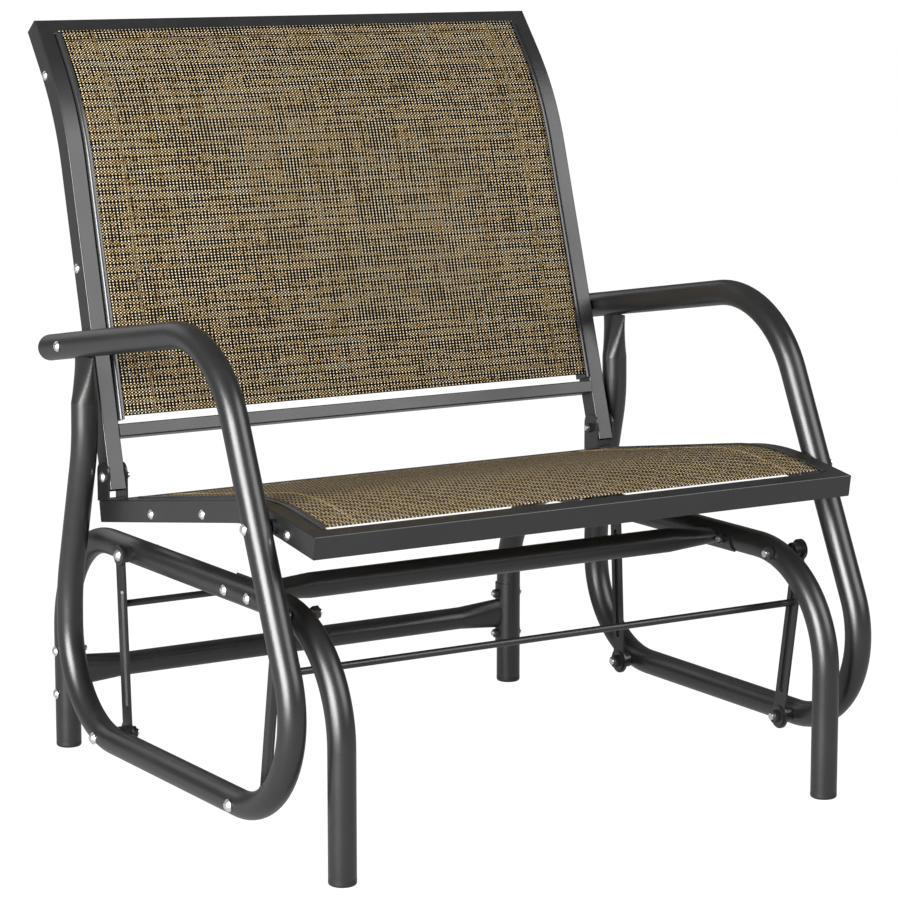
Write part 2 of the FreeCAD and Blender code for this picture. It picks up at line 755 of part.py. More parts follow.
rear_lean = -s.rear_link_angle.value
front_lean = math.degrees(math.atan2(front_link_run.value, front_link_fall.value))
keep_pair("rear_link", link("rear_link_left", s.rear_pivot_y, s.base_rail_z, rear_lean, s.running_gap))
keep_pair("front_link", link("front_link_left", s.front_pivot_y, s.front_pivot_z, front_lean, s.open_pivot_gap))


def tie_rod(label, y, z, low_y, low_z, drop):
    share = drop / s.link_len
    rod = doc.addObject("Part::Cylinder", label)
    bind(rod, "Radius", s.tie_rod_od / 2)
    bind(rod, "Height", link_in_x * 2)
    rod_y = y + (low_y - y) * share
    rod_z = z + (low_z - z) * share
    rod.Placement = Placement(spot(-link_in_x, rod_y, rod_z), Rotation(Vector(0, 1, 0), 90))
    for axis, amount in zip("xyz", (-link_in_x, rod_y, rod_z)):
        bind(rod, "Placement.Base." + axis, amount)
    return keep(label, rod)


tie_rod("rear_tie_rod", s.rear_pivot_y, s.base_rail_z, rear_low_y, arm_low_z, s.rear_rod_drop)
tie_rod("front_tie_rod", s.front_pivot_y, s.front_pivot_z, front_low_y, arm_low_z, s.front_rod_drop)


# Leaning frames: the arm loops and the back rails are drawn upright, then tipped about a line along Y

def lean_frame(x, z, angle):
    return Placement(spot(x, 0, z), Rotation(Vector(0, -1, 0), angle.value))


def set_lean(body, x, z, angle):
    body.Placement = lean_frame(x, z, angle)
    bind(body, "Placement.Base.x", x)
    bind(body, "Placement.Base.z", z)
    bind(body, "Placement.Rotation.Angle", angle)


def upright(corner):
    # heights in a leaning frame are counted from the rear armrest bolt
    return (as_size(corner[0]), as_size(corner[1]) - arm_bolt_rear_z)


# Arm loops: armrest, front post, lower rail and rear post in one bent tube

arm_frame = lean_frame(arm_tube_x, arm_bolt_rear_z, s.arm_splay_angle)
arm_corners = [(arm_end_y, arm_end_z), (s.arm_brow_y, s.arm_brow_z), (s.arm_toe_y, arm_low_z),
               (s.arm_heel_y, arm_low_z), (s.arm_heel_y, s.post_kink_low_z),
               (s.post_top_y, s.post_kink_high_z), (s.post_top_y, s.post_round_z)]
arm_bends = {1: s.arm_brow_r, 2: s.arm_toe_r, 3: s.arm_heel_r, 4: s.post_kink_r, 5: s.post_kink_r}
arm = sweep_along("arm_frame_left", as_size(0), [upright(c) for c in arm_corners], arm_bends, s.arm_rise_angle,
                  lambda sketch: draw_ring(sketch, s.tube_od, s.tube_wall))
# the top of the rear post is pressed flat and welded under the armrest
post_weld_z = s.arm_brow_z - (s.post_top_y - s.arm_brow_y) * tan_of(s.arm_rise_angle) - tube_r + s.tube_wall
round_y, round_z = upright((s.post_top_y, s.post_round_z))
round_end = sketch_on(arm, "XY_Plane", y=round_y, z=round_z)
draw_circle(round_end, (0, 0), tube_r)
weld_y, weld_z = upright((s.post_top_y, post_weld_z))
flat_end = sketch_on(arm, "XY_Plane", y=weld_y, z=weld_z)
draw_ellipse(flat_end, s.post_flat_thin / 2, s.post_flat_wide / 2)
press = arm.newObject("PartDesign::AdditiveLoft", "arm_post_flat")
press.Profile = round_end
press.Sections = [flat_end]
doc.recompute()
tilt_hole = s.bolt_od + s.tilt_gap * 2
tilt_pivot_hole = s.pivot_bolt_od + s.tilt_gap * 2
arm_bolts = [(arm_bolt_rear_y, arm_bolt_rear_z), (arm_bolt_front_y, arm_bolt_front_z)]
arm_holes = [upright(place) + (tilt_hole,) for place in arm_bolts]
arm_holes += [upright(place) + (tilt_pivot_hole,) for place in lower_pivots]
drill(arm, arm_holes)
set_lean(arm, arm_tube_x, arm_bolt_rear_z, s.arm_splay_angle)
keep_pair("arm_frame", arm)


# Armrest plugs: a domed end, turned about the armrest's own line

def arm_plug(label):
    plug_r = tube_r - s.tube_wall - s.seat_gap
    corners = [(-s.arm_plug_len, 0), (s.arm_plug_dome, 0), (s.arm_plug_dome, tube_r), (0, tube_r), (0, plug_r),
               (-s.arm_plug_len, plug_r)]
    body = turned(label, corners, {2: s.arm_plug_dome - s.seat_gap})
    along = Rotation(Vector(0, 0, 1), 90)
    drop = Rotation(Vector(1, 0, 0), -s.arm_rise_angle.value)
    end_y, end_z = upright((arm_end_y, arm_end_z))
    body.Placement = arm_frame * Placement(spot(0, end_y, end_z), drop * along)
    return body


keep_pair("arm_end_plug", arm_plug("arm_end_plug_left"))

# Seat frame: side rails that rise to a crest and fall to the front, mitred front rail, rear rail

rear_end = (s.seat_rear_y, seat_rear_line(s.seat_rear_y))
seat_corners = [rear_end, (s.seat_crest_y, s.seat_crest_z), (s.seat_front_y, seat_front_line(s.seat_front_y))]
seat_rail = sweep_along("seat_side_rail_left", seat_tube_x, seat_corners, {1: s.seat_crest_r}, s.seat_rise_angle,
                        draw_box_tube)
seat_sling_rear_y = s.seat_rear_y - s.seat_sling_rear_cut
rear_screw_y = seat_sling_rear_y - s.seat_screw_rear_run
mid_screw_y = seat_sling_rear_y - s.seat_screw_mid_run
front_screw_y = s.seat_front_y + s.seat_screw_front_run
seat_screw_spots = [(rear_screw_y, seat_rear_line(rear_screw_y) - s.screw_set),
                    (mid_screw_y, seat_rear_line(mid_screw_y) - s.screw_set),
                    (front_screw_y, seat_front_line(front_screw_y) - s.screw_set)]
screw_hole = s.screw_od + s.hole_gap * 2
seat_holes = [(y, z, screw_hole) for y, z in seat_screw_spots]
seat_holes += [(arm_bolt_front_y, arm_bolt_front_z, bolt_hole)]
drill(seat_rail, seat_holes, seat_tube_x)
# the mitre is square to the frame, which falls to the front
fall_cos, fall_sin = cos_of(s.seat_fall_angle), sin_of(s.seat_fall_angle)
front_corner_z = seat_front_line(s.seat_front_y)
mitre_spot = spot(s.seat_half_width, s.seat_front_y, front_corner_z)
seat_rail = trim("seat_side_rail", seat_rail, mitre_spot, Vector(-1, -fall_cos.value, -fall_sin.value),
                 s.rail_deep * 8)
keep_pair("seat_side_rail", seat_rail)


def cross_rail(label, y, z, half_length, lean, draw_section):
    # a straight rail along X, its section tipped back by lean
    body = new_body(label)
    section = sketch_on(body, "YZ_Plane")
    draw_section(section)
    pad(body, section, half_length * 2, symmetric=True)
    body.Placement = Placement(spot(0, y, z), Rotation(Vector(-1, 0, 0), lean.value))
    bind(body, "Placement.Base.y", y)
    bind(body, "Placement.Base.z", z)
    return body


def draw_cross_tube(sketch, deep, high):
    draw_box(sketch, deep, high, s.rail_edge_r)
    draw_box(sketch, deep - s.rail_wall * 2, high - s.rail_wall * 2)


front_rail_y = s.seat_front_y + s.rail_wide / 2 * fall_cos
front_rail = cross_rail("seat_front_rail", front_rail_y, seat_front_line(front_rail_y), s.seat_half_width,
                        -s.seat_fall_angle, lambda sketch: draw_cross_tube(sketch, s.rail_wide, s.rail_deep))
for side in (1, -1):
    mitre_spot = spot(s.seat_half_width * side, s.seat_front_y, front_corner_z)
    front_rail = trim("seat_front_rail", front_rail, mitre_spot, Vector(side, fall_cos.value, fall_sin.value),
                      s.rail_deep * 8)
keep("seat_front_rail", front_rail)
rear_rail_y = s.seat_rear_y - s.seat_rear_rail_inset
keep("seat_rear_rail", cross_rail("seat_rear_rail", rear_rail_y, seat_rear_line(rear_rail_y), seat_in_x,
                                  s.seat_rise_angle,
                                  lambda sketch: draw_cross_tube(sketch, s.rail_wide, s.rail_deep)))

# Back frame: side rails drawn in a frame that leans in by the taper about the arm bolt

back_frame = lean_frame(back_tube_x, arm_bolt_rear_z, s.back_taper_angle)


def ahead(corner, amount, angle):
    # a place in front of the centre line of the rail, square to it where the rail leans by that angle
    y, z = upright(corner)
    return (y - amount * cos_of(angle), z + amount * sin_of(angle))


back_corners = [(back_foot_y, back_foot_z), (back_bend_y, back_bend_z), (back_top_y, s.back_top_z)]
back_rail = sweep_along("back_side_rail_left", as_size(0), [upright(c) for c in back_corners],
                        {1: s.back_bend_r}, s.back_lean_angle + 90, draw_box_tube)


def back_line(z):
    # centre line of the back rail, below its bend or above it
    if z.value < back_bend_z.value:
        return back_low_line(z)
    return back_bend_y + (z - back_bend_z) * tan_of(s.back_top_angle)


back_screw_heights = [back_sling_low_z + s.back_screw_low_run, back_sling_low_z + s.back_screw_mid_run,
                      s.back_top_z - s.back_screw_top_run]
back_screw_spots = [ahead((back_line(z), z), -s.screw_set, back_bisector) for z in back_screw_heights]
bracket_bolt_y = back_low_line(bracket_bolt_z)
back_holes = [(y, z, screw_hole) for y, z in back_screw_spots]
back_holes += [upright((bracket_bolt_y, bracket_bolt_z)) + (tilt_hole,)]
back_holes += [upright((arm_bolt_rear_y, arm_bolt_rear_z)) + (tilt_hole,)]
drill(back_rail, back_holes)
set_lean(back_rail, back_tube_x, arm_bolt_rear_z, s.back_taper_angle)

top_run = Vector(0, math.sin(math.radians(s.back_top_angle.value)), math.cos(math.radians(s.back_top_angle.value)))
top_end = upright((back_top_y, s.back_top_z))
mitre_spot = back_frame.multVec(Vector(s.rail_wide.value / 2, top_end[0].value, top_end[1].value))
mitre_normal = back_frame.Rotation.multVec(top_run - Vector(1, 0, 0))
keep_pair("back_side_rail", trim("back_side_rail", back_rail, mitre_spot, mitre_normal, s.rail_deep * 8))

top_rail_y = back_top_y - s.rail_wide / 2 * sin_of(s.back_top_angle)
top_rail_z = s.back_top_z - s.rail_wide / 2 * cos_of(s.back_top_angle)
top_rail = cross_rail("back_top_rail", top_rail_y, top_rail_z, back_tube_x + s.rail_wide, s.back_top_angle,
                      lambda sketch: draw_cross_tube(sketch, s.rail_deep, s.rail_wide))
for side in (1, -1):
    end_spot = Vector(mitre_spot.x * side, mitre_spot.y, mitre_spot.z)
    end_normal = Vector(-mitre_normal.x * side, -mitre_normal.y, -mitre_normal.z)
    top_rail = trim("back_top_rail", top_rail, end_spot, end_normal, s.rail_deep * 8)
keep("back_top_rail", top_rail)

lower_bar_half = back_centre_x(lower_bar_z + s.rail_deep / 2) - s.rail_wide / 2 - s.seat_gap
keep("back_lower_bar", cross_rail("back_lower_bar", back_low_line(lower_bar_z), lower_bar_z, lower_bar_half,
                                  s.back_lean_angle,
                                  lambda sketch: draw_cross_tube(sketch, s.rail_deep, s.lower_bar_h)))

# Brackets: a folded U on the rear end of the seat rail, round the foot of the back rail

bracket_out_x = back_centre_x(back_foot_z) + s.rail_wide / 2 + s.hole_gap
bracket_in_x = back_centre_x(bracket_top_z) - s.rail_wide / 2 - s.hole_gap
bracket_mid_y = back_low_line(bracket_bolt_z)
bracket_front_y = bracket_mid_y - s.bracket_len / 2
bracket_rear_y = bracket_mid_y + s.bracket_len / 2


def seat_top(y):
    return seat_rear_line(y) + s.rail_deep / 2 / cos_of(s.seat_rise_angle) + s.seat_gap


def bracket(label):
    body = new_body(label)
    foot = [(bracket_front_y, seat_top(bracket_front_y)), (bracket_rear_y, seat_top(bracket_rear_y))]
    web = sketch_on(body, "YZ_Plane", z=bracket_in_x)
    draw_path(web, foot + [(y, z + s.bracket_wall) for y, z in reversed(foot)], {}, closed=True)
    pad(body, web, bracket_out_x - bracket_in_x)
    for x in (bracket_in_x - s.bracket_wall, bracket_out_x):
        flange = sketch_on(body, "YZ_Plane", z=x)
        top = [(bracket_rear_y, bracket_top_z), (bracket_front_y, bracket_top_z)]
        draw_path(flange, foot + top, {2: s.bracket_top_r, 3: s.bracket_top_r}, closed=True)
        pad(body, flange, s.bracket_wall)
    drill(body, [(bracket_bolt_y, bracket_bolt_z, bolt_hole)], bracket_in_x)
    return body


keep_pair("back_bracket", bracket("back_bracket_left"))
bracket_head_x = bracket_out_x + s.bracket_wall
bracket_nut_x = bracket_in_x - s.bracket_wall
bracket_bolt = dome_bolt("bracket_bolt", s.bolt_od, bracket_head_x - bracket_nut_x + s.nut_h + s.bolt_spare,
                         s.bolt_head_od, s.bolt_head_h)
copies("bracket_bolts", bracket_bolt, [(bracket_head_x, bracket_bolt_y, bracket_bolt_z)])
copies("bracket_nuts", nut, [(bracket_nut_x, bracket_bolt_y, bracket_bolt_z)])

# Sling bars: bars on edge beside the rails, rounded in front, with a groove for the edge of the sling

bar_in = s.rail_wide / 2 + s.sling_bar_gap + s.sling_bar_wide / 2
edge_in = bar_in + s.sling_bar_wide / 2 - s.sling_groove + s.sling_gap


def draw_sling_bar(sketch, front):
    # drawn about the middle of the sling's thickness; front is the sign of the side that the sitter touches
    half = s.sling_bar_wide / 2
    slot = (s.sling_t / 2 + s.sling_gap) * front
    face = slot + s.sling_bar_wall * front
    low = face - s.sling_bar_deep * front
    groove = s.sling_groove - half
    corners = [(half, face), (-half, face), (-half, slot), (groove, slot), (groove, -slot), (-half, -slot),
               (-half, low), (half, low)]
    draw_path(sketch, corners, {0: s.sling_bar_edge_r}, closed=True)


seat_lift = s.seat_cloth_lift / cos_of(s.seat_rise_angle)
seat_bend = {1: s.seat_crest_r + s.seat_cloth_lift}
seat_bar_x = seat_tube_x - bar_in


def seat_sling_line(rear_y, front_y):
    return [(rear_y, seat_rear_line(rear_y) + seat_lift), (s.seat_crest_y, s.seat_crest_z + seat_lift),
            (front_y, seat_front_line(front_y) + seat_lift)]


front_edge_y = s.seat_front_y + s.rail_wide
seat_bar_line = seat_sling_line(seat_sling_rear_y + s.sling_bar_over,
                                front_edge_y + s.sling_bar_slit - s.seat_cloth_lift * fall_sin)
seat_bar = sweep_along("seat_sling_bar_left", seat_bar_x, seat_bar_line, seat_bend, s.seat_rise_angle,
                       lambda sketch: draw_sling_bar(sketch, 1))
drill(seat_bar, [(y, z, screw_hole) for y, z in seat_screw_spots], seat_bar_x)
keep_pair("seat_sling_bar", seat_bar)

half_bend = (s.back_top_angle - s.back_lean_angle) / 2
back_bend = {1: s.back_bend_r + s.back_cloth_lift}


def back_sling_line(low_z, top_cut):
    # top_cut is measured down from the top of the back, along the rail
    top = (back_top_y - top_cut * sin_of(s.back_top_angle), s.back_top_z - top_cut * cos_of(s.back_top_angle))
    return [ahead((back_low_line(low_z), low_z), s.back_cloth_lift, s.back_lean_angle),
            ahead((back_bend_y, back_bend_z), s.back_cloth_lift / cos_of(half_bend), back_bisector),
            ahead(top, s.back_cloth_lift, s.back_top_angle)]


back_bar_line = back_sling_line(back_sling_low_z - s.sling_bar_over, s.rail_wide + s.sling_bar_slit)
back_bar = sweep_along("back_sling_bar_left", -bar_in, back_bar_line, back_bend, s.back_lean_angle + 90,
                       lambda sketch: draw_sling_bar(sketch, -1))
drill(back_bar, [(y, z, screw_hole) for y, z in back_screw_spots], -bar_in)
set_lean(back_bar, back_tube_x, arm_bolt_rear_z, s.back_taper_angle)
keep_pair("back_sling_bar", back_bar)

# Slings: one stretched sheet each, between the bars

seat_sling_half = seat_tube_x - edge_in
keep("seat_sling", sweep_along("seat_sling", as_size(0),
                               seat_sling_line(seat_sling_rear_y, front_edge_y + s.seat_sling_slit), seat_bend,
                               s.seat_rise_angle, lambda sketch: draw_box(sketch, seat_sling_half * 2, s.sling_t)))
back_sling_corners = [(y, z + arm_bolt_rear_z) for y, z in
                      back_sling_line(back_sling_low_z, s.rail_wide - s.back_sling_lap)]
back_sling = sweep_along("back_sling", as_size(0), back_sling_corners, back_bend, s.back_lean_angle + 90,
                         lambda sketch: draw_box(sketch, back_tube_x * 2, s.sling_t))
for side in (1, -1):
    edge_spot = back_frame.multVec(Vector(-edge_in.value, 0, 0))
    edge_normal = back_frame.Rotation.multVec(Vector(1, 0, 0))
    back_sling = trim("back_sling", back_sling, Vector(edge_spot.x * side, edge_spot.y, edge_spot.z),
                      Vector(edge_normal.x * side, edge_normal.y, edge_normal.z), s.back_top_z * 2)
keep("back_sling", back_sling)

# Sling screws: through both walls of the rail into the bar

screw = dome_bolt("sling_screw", s.screw_od, s.rail_wide + s.sling_bar_gap + s.screw_bite, s.screw_head_od,
                  s.screw_head_h)
copies("seat_sling_screws", screw, [(s.seat_half_width, y, z) for y, z in seat_screw_spots])
copies("back_sling_screws", screw,
       [back_frame * Placement(spot(s.rail_wide / 2, y, z), Rotation()) for y, z in back_screw_spots])

# Armrest bolts: rear into the back rail, front into the seat rail, each with a spacer and a captive nut

# the spacers and heads are square to the bolt, so they stand off the leaning faces by the rise over their radius
spacer_r = s.arm_spacer_od / 2
splay_gap = spacer_r * tan_of(s.arm_splay_angle) + s.seat_gap
back_wall_x = back_tube_x + s.rail_wide / 2
back_face_x = back_wall_x + spacer_r * tan_of(s.back_taper_angle) + s.seat_gap
captive_nut = ring_piece("captive_nut", s.captive_nut_od, s.bolt_od + s.hole_gap, s.captive_nut_len)
arm_bolt_faces = (("rear", back_wall_x, back_face_x), ("front", s.seat_half_width, s.seat_half_width))
for (name, wall_x, face_x), (y, z) in zip(arm_bolt_faces, arm_bolts):
    nut_x = wall_x - s.rail_wall - s.seat_gap * 4 - s.captive_nut_len
    head_x = arm_out_x(z) + splay_gap
    spacer = ring_piece("arm_%s_spacer" % name, s.arm_spacer_od, bolt_hole, arm_in_x(z) - splay_gap - face_x)
    arm_bolt = dome_bolt("arm_%s_bolt" % name, s.bolt_od, head_x - nut_x + s.bolt_spare, s.bolt_head_od,
                         s.bolt_head_h)
    copies("arm_%s_bolts" % name, arm_bolt, [(head_x, y, z)])
    copies("arm_%s_spacers" % name, spacer, [(face_x, y, z)])
    copies("arm_%s_nuts" % name, captive_nut, [(nut_x, y, z)])

# Lower pivots: bolt through the lower rail, spacer, link, washer and nut

low_spacer_x = link_out_x + s.swing_gap
low_washer_x = link_in_x - s.swing_gap - s.pivot_washer_t
low_gap = s.pivot_spacer_od / 2 * tan_of(s.arm_splay_angle) + s.seat_gap
low_head_x = arm_out_x(arm_low_z) + low_gap
low_bolt_len = low_head_x - low_washer_x + s.pivot_nut_h + s.bolt_spare
lower_bolt = dome_bolt("lower_pivot_bolt", s.pivot_bolt_od, low_bolt_len, s.pivot_head_od, s.pivot_head_h)
low_spacer = ring_piece("lower_spacer", s.pivot_spacer_od, pivot_hole,
                        arm_in_x(arm_low_z) - low_gap - low_spacer_x)
copies("lower_pivot_bolts", lower_bolt, [(low_head_x, y, z) for y, z in lower_pivots])
copies("lower_pivot_spacers", low_spacer, [(low_spacer_x, y, z) for y, z in lower_pivots])
copies("lower_pivot_washers", washer, [(low_washer_x, y, z) for y, z in lower_pivots])
copies("lower_pivot_nuts", pivot_nut, [(low_washer_x, y, z) for y, z in lower_pivots])

# Check every object, then write one file for each node

doc.recompute()
for obj in doc.Objects:
    if "Invalid" in obj.State or "Error" in obj.State:
        raise RuntimeError("%s could not be built: %s" % (obj.Label, obj.State))
for label, obj in nodes.items():
    if obj.Shape.isNull() or not obj.Shape.isValid() or not obj.Shape.Solids:
        raise RuntimeError("%s has no valid solid" % label)
os.makedirs("parts", exist_ok=True)
for label, obj in nodes.items():
    obj.Shape.exportStep("parts/%s.step" % label)
print("%d nodes" % len(nodes))
for name, (y, z) in zip(("rear upper", "front upper", "rear lower", "front lower"), upper_pivots + lower_pivots):
    print("%s pivot: y %.3f z %.3f" % (name, y.value, z.value))
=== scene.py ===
import bpy
import json
import math
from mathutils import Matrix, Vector


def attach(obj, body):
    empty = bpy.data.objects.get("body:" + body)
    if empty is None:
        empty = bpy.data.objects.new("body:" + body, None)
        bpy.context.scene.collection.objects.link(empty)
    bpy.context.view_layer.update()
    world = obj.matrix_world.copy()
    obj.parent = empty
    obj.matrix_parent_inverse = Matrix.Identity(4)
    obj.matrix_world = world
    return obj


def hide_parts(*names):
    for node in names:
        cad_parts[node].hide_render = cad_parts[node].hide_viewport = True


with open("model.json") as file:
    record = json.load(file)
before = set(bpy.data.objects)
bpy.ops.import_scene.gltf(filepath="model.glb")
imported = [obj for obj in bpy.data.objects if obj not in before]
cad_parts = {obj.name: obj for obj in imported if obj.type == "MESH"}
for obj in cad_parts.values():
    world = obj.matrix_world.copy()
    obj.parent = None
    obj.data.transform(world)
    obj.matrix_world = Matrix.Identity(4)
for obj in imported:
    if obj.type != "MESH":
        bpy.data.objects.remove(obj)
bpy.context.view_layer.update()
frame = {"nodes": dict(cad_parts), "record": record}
scene = bpy.context.scene
scene.view_settings.view_transform = "Standard"
print("frame loaded with", len(frame["nodes"]), "nodes")


def deselectAll():
    bpy.ops.object.select_all(action="DESELECT")


def keepOnly(obj):
    deselectAll()
    obj.select_set(True)
    bpy.context.view_layer.objects.active = obj


# camera at the photograph's height and angle
viewSet = {"place": (-1.9008, -3.1031, 0.9917), "turn": (80.408, 0.0, -31.807), "lens": 129.06,
           "sensor": 36.0, "far": 400.0}
deselectAll()
bpy.ops.object.camera_add(location=viewSet["place"], rotation=[math.radians(a) for a in viewSet["turn"]])
photoCamera = bpy.context.object
photoCamera.name = "photoCamera"
photoCamera.data.sensor_width = viewSet["sensor"]
photoCamera.data.lens = viewSet["lens"]
photoCamera.data.clip_end = viewSet["far"]
scene.camera = photoCamera
print("camera placed")


# node helpers: one call adds a node, sets its options and wires its inputs
def addNode(tree, kind, inputs=None, **options):
    node = tree.nodes.new(kind)
    for name, value in options.items():
        setattr(node, name, value)
    for name, value in (inputs or {}).items():
        if isinstance(value, bpy.types.NodeSocket):
            tree.links.new(value, node.inputs[name])
        else:
            node.inputs[name].default_value = value
    return node


def calc(tree, operation, *values):
    return addNode(tree, "ShaderNodeMath", dict(enumerate(values)), operation=operation).outputs[0]


def weigh(tree, values, shares):
    # the sum of the values, each times its share
    total = None
    for value, share in zip(values, shares):
        part = calc(tree, "MULTIPLY", value, share)
        total = part if total is None else calc(tree, "ADD", total, part)
    return total


def remap(tree, value, low, high, toLow, toHigh, smooth=False):
    inputs = {"Value": value, "From Min": low, "From Max": high, "To Min": toLow, "To Max": toHigh}
    kind = "SMOOTHSTEP" if smooth else "LINEAR"
    return addNode(tree, "ShaderNodeMapRange", inputs, interpolation_type=kind).outputs["Result"]


def ramp(tree, value, stops):
    node = addNode(tree, "ShaderNodeValToRGB", {"Fac": value})
    marks = node.color_ramp.elements
    while len(marks) < len(stops):
        marks.new(0.5)
    for mark, (place, colour) in zip(marks, stops):
        mark.position = place
        mark.color = (*colour, 1)
    return node.outputs["Color"]


def blendColour(tree, amount, first, second, kind="MIX"):
    first, second = (c if isinstance(c, bpy.types.NodeSocket) else (*c, 1) for c in (first, second))
    # sockets 0, 6 and 7 are the colour mix's factor and its two colours
    mix = addNode(tree, "ShaderNodeMix", {0: amount, 6: first, 7: second}, data_type="RGBA", blend_type=kind)
    return mix.outputs[2]


def noise(tree, place, scale, detail):
    return addNode(tree, "ShaderNodeTexNoise", {"Vector": place, "Scale": scale, "Detail": detail}).outputs


def joinVector(tree, x, y, z=0.0):
    return addNode(tree, "ShaderNodeCombineXYZ", {"X": x, "Y": y, "Z": z}).outputs[0]


def splitVector(tree, vector):
    return addNode(tree, "ShaderNodeSeparateXYZ", {0: vector}).outputs


def newGroup(name, inputs, outputs):
    group = bpy.data.node_groups.new(name, "ShaderNodeTree")
    for label, kind, value in inputs:
        socket = group.interface.new_socket(name=label, in_out="INPUT", socket_type=kind)
        if value is not None:
            socket.default_value = value
    for label, kind in outputs:
        group.interface.new_socket(name=label, in_out="OUTPUT", socket_type=kind)
    return group, group.nodes.new("NodeGroupInput").outputs, group.nodes.new("NodeGroupOutput").inputs


def putOut(group, out, **values):
    for name, value in values.items():
        group.links.new(value, out[name])


def useGroup(tree, group, **values):
    return addNode(tree, "ShaderNodeGroup", values, node_tree=group).outputs


def newMaterial(name):
    material = bpy.data.materials.new(name)
    material.use_nodes = True
    tree = material.node_tree
    return material, tree, tree.nodes["Principled BSDF"]


def dress(tree, shader, colour, rough, height, strength, depth):
    bump = addNode(tree, "ShaderNodeBump", {"Height": height, "Strength": strength, "Distance": depth})
    tree.links.new(colour, shader.inputs["Base Color"])
    tree.links.new(rough, shader.inputs["Roughness"])
    tree.links.new(bump.outputs[0], shader.inputs["Normal"])


noiseLow, noiseHigh = 0.3, 0.7  # most of a noise lies between these

# coat skin: orange peel, uneven gloss and settled dust of a sprayed or moulded surface
skinSet = {"peelScale": 900.0, "speckScale": 2600.0, "cloudScale": 14.0, "driftScale": 45.0,
           "toneShares": (0.7, 0.3), "heightShares": (0.8, 0.2),
           "dustFacing": (0.3, 1.0), "dustDrift": (0.45, 0.8), "dustColour": (0.35, 0.33, 0.30)}


def makeCoatSkin():
    group, given, out = newGroup(
        "coatSkin", [(name, "NodeSocketFloat", skinSet[name]) for name in ("peelScale", "speckScale")],
        [(name, "NodeSocketFloat") for name in ("Tone", "Gloss", "Height", "Dust")])
    place = addNode(group, "ShaderNodeTexCoord").outputs["Object"]
    peel = noise(group, place, given["peelScale"], 1.0)[0]
    speck = noise(group, place, given["speckScale"], 0.0)[0]
    cloud = noise(group, place, skinSet["cloudScale"], 3.0)[0]
    drift = noise(group, place, skinSet["driftScale"], 4.0)[0]
    facing = splitVector(group, addNode(group, "ShaderNodeNewGeometry").outputs["Normal"])
    # dust lies in drifts on what faces up
    dust = calc(group, "MULTIPLY", remap(group, facing["Z"], *skinSet["dustFacing"], 0.0, 1.0),
                remap(group, drift, *skinSet["dustDrift"], 0.0, 1.0))
    putOut(group, out, Tone=weigh(group, (cloud, speck), skinSet["toneShares"]), Gloss=cloud,
           Height=weigh(group, (peel, speck), skinSet["heightShares"]), Dust=dust)
    return group


coatSkin = makeCoatSkin()

# each finish: dark and light tone, roughness span, peel depth in metres
coatFinishes = {
    "frame": {"dark": (0.0095, 0.0095, 0.0098), "light": (0.0145, 0.0145, 0.0145), "rough": (0.29, 0.36),
              "depth": 0.00008, "peelScale": 420.0, "speckScale": 2200.0, "dust": 0.03, "specular": 0.75},
    "links": {"dark": (0.010, 0.010, 0.0105), "light": (0.016, 0.016, 0.016), "rough": (0.28, 0.38),
              "depth": 0.00008, "peelScale": 480.0, "speckScale": 2400.0, "dust": 0.03, "specular": 0.65},
    "sling_bar": {"dark": (0.020, 0.020, 0.021), "light": (0.030, 0.030, 0.030), "rough": (0.20, 0.28),
                  "depth": 0.00004, "peelScale": 520.0, "speckScale": 2400.0, "dust": 0.02, "specular": 0.85},
    "black_hardware": {"dark": (0.010, 0.010, 0.011), "light": (0.022, 0.022, 0.022), "rough": (0.26, 0.42),
                       "depth": 0.00003, "peelScale": 1500.0, "speckScale": 4000.0, "dust": 0.02,
                       "specular": 0.7},
    "plastic": {"dark": (0.012, 0.012, 0.012), "light": (0.020, 0.020, 0.020), "rough": (0.40, 0.55),
                "depth": 0.00006, "peelScale": 1800.0, "speckScale": 5000.0, "dust": 0.05, "specular": 0.5},
}


def makeCoat(name, look):
    material, tree, shader = newMaterial(name + "Coat")
    skin = useGroup(tree, coatSkin, peelScale=look["peelScale"], speckScale=look["speckScale"])
    colour = ramp(tree, skin["Tone"], [(noiseLow, look["dark"]), (noiseHigh, look["light"])])
    dusty = calc(tree, "MULTIPLY", skin["Dust"], look["dust"])
    dress(tree, shader, blendColour(tree, dusty, colour, skinSet["dustColour"]),
          remap(tree, skin["Gloss"], noiseLow, noiseHigh, *look["rough"]), skin["Height"], 1.0, look["depth"])
    shader.inputs["Specular IOR Level"].default_value = look["specular"]
    return material


# zinc plate of the bright screw and bolt heads
zincSet = {"mottleScale": 260.0, "scratchScale": 1800.0, "dark": (0.84, 0.84, 0.83), "light": (0.96, 0.96, 0.95),
           "rough": (0.22, 0.42), "strength": 0.4, "depth": 0.0001}


def makeZinc():
    material, tree, shader = newMaterial("zincPlate")
    place = addNode(tree, "ShaderNodeTexCoord").outputs["Object"]
    mottle = noise(tree, place, zincSet["mottleScale"], 4.0)[0]
    scratch = noise(tree, place, zincSet["scratchScale"], 2.0)[0]
    dress(tree, shader, ramp(tree, mottle, [(noiseLow, zincSet["dark"]), (noiseHigh, zincSet["light"])]),
          remap(tree, scratch, noiseLow, noiseHigh, *zincSet["rough"]),
          mottle, zincSet["strength"], zincSet["depth"])
    shader.inputs["Metallic"].default_value = 1.0
    return material


finishes = {slotName: makeCoat(slotName, look) for slotName, look in coatFinishes.items()}
finishes["zinc"] = makeZinc()
for piece in frame["record"]["subparts"]:
    node = frame["nodes"][piece["node"]]
    if piece["material_slot"] in finishes:
        node.data.materials.clear()
        node.data.materials.append(finishes[piece["material_slot"]])
print("coats on the frame:", ", ".join(finishes))


